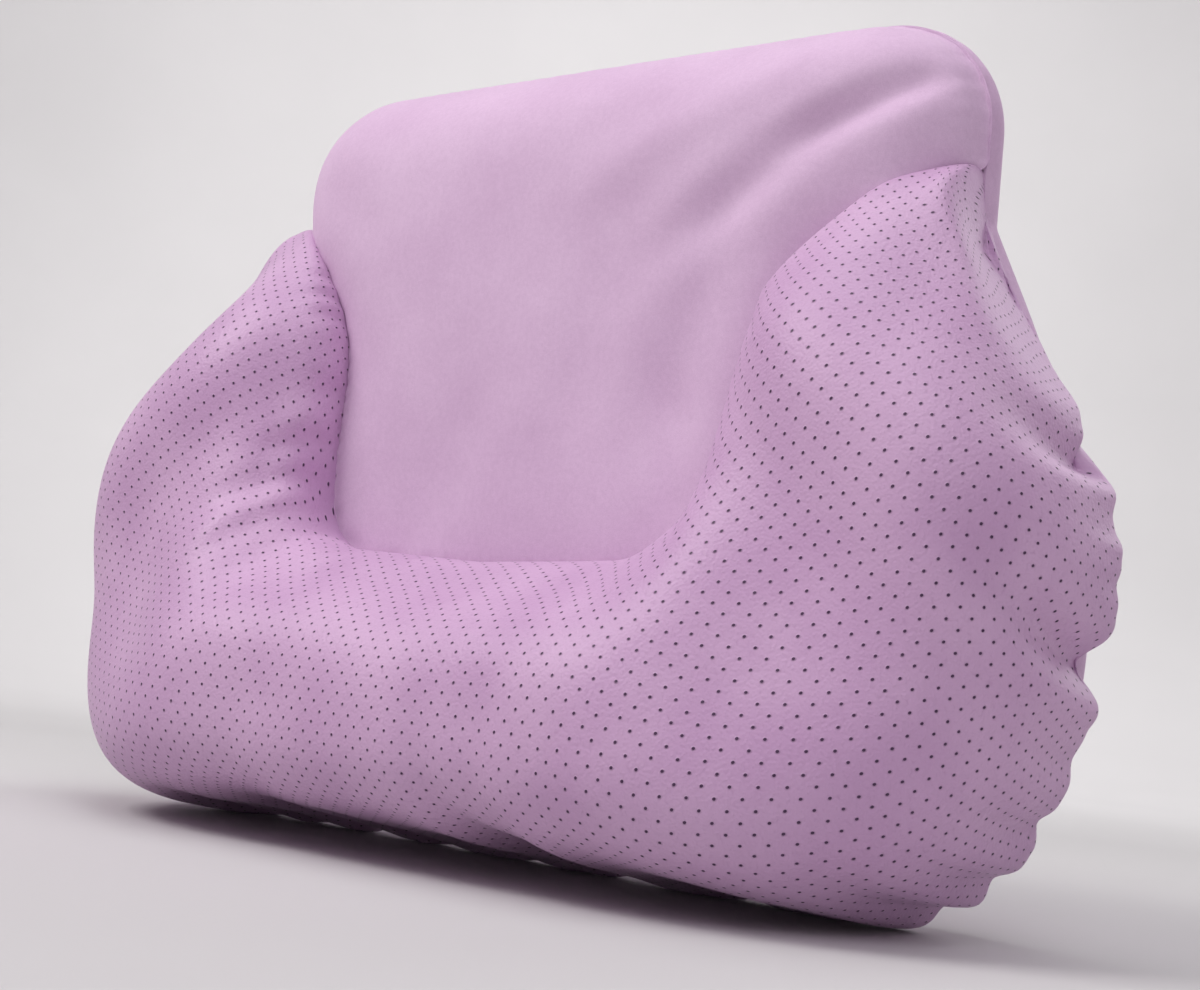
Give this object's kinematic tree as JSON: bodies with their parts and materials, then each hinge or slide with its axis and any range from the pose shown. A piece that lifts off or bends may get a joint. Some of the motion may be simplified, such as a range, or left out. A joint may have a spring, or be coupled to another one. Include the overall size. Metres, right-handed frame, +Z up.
{
  "type": "lumbar support cushion",
  "caption": "Upright lower-back cushion: smooth suede centre panel framed by a thick U-shaped perforated leather bolster, with a zipped back.",
  "frame": {"origin": "on the ground, in the middle of the cushion's footprint box", "axes": "+X across, to the right for someone who looks at the front; +Y from the front to the back; +Z up"},
  "size_m": [0.4418, 0.1396, 0.326],
  "materials": {
    "suede": "matte",
    "leather": "satin",
    "zip_tape": "matte",
    "zip_nylon": "satin",
    "zip_metal": "satin",
    "foam": "matte",
    "fibre": "matte",
    "case_cloth": "matte"
  },
  "bodies": {
    "cushion": {"centre_panel": "suede", "bolster_panel": "leather", "edge_band": "suede", "back_panel_upper": "suede", "back_panel_lower": "suede", "zip_tape_upper": "zip_tape", "zip_tape_lower": "zip_tape", "zip_coil_upper": "zip_nylon", "zip_coil_lower": "zip_nylon", "zip_stop_upper": "zip_metal", "zip_stop_lower": "zip_metal", "zip_end_box": "zip_metal", "base_foam": "foam", "lumbar_pad": "foam", "bolster_fill": "fibre", "baffle_wall": "case_cloth", "case_back": "case_cloth", "case_bolster": "case_cloth", "case_centre": "case_cloth"},
    "slider": {"zip_slider": "zip_metal", "zip_crown": "zip_metal"},
    "pull": {"zip_pull": "zip_metal"}
  },
  "joints": [
    {"name": "zip_travel", "type": "slide", "parent": "cushion", "child": "slider", "axis": [-1, 0, 0], "range_m": [0, 0.2899]},
    {"name": "pull_swing", "type": "hinge", "parent": "slider", "child": "pull", "pos_m": [0.14495, 0.06773, 0.095], "axis": [1, 0, 0], "range_deg": [-7, 160]}
  ]
}
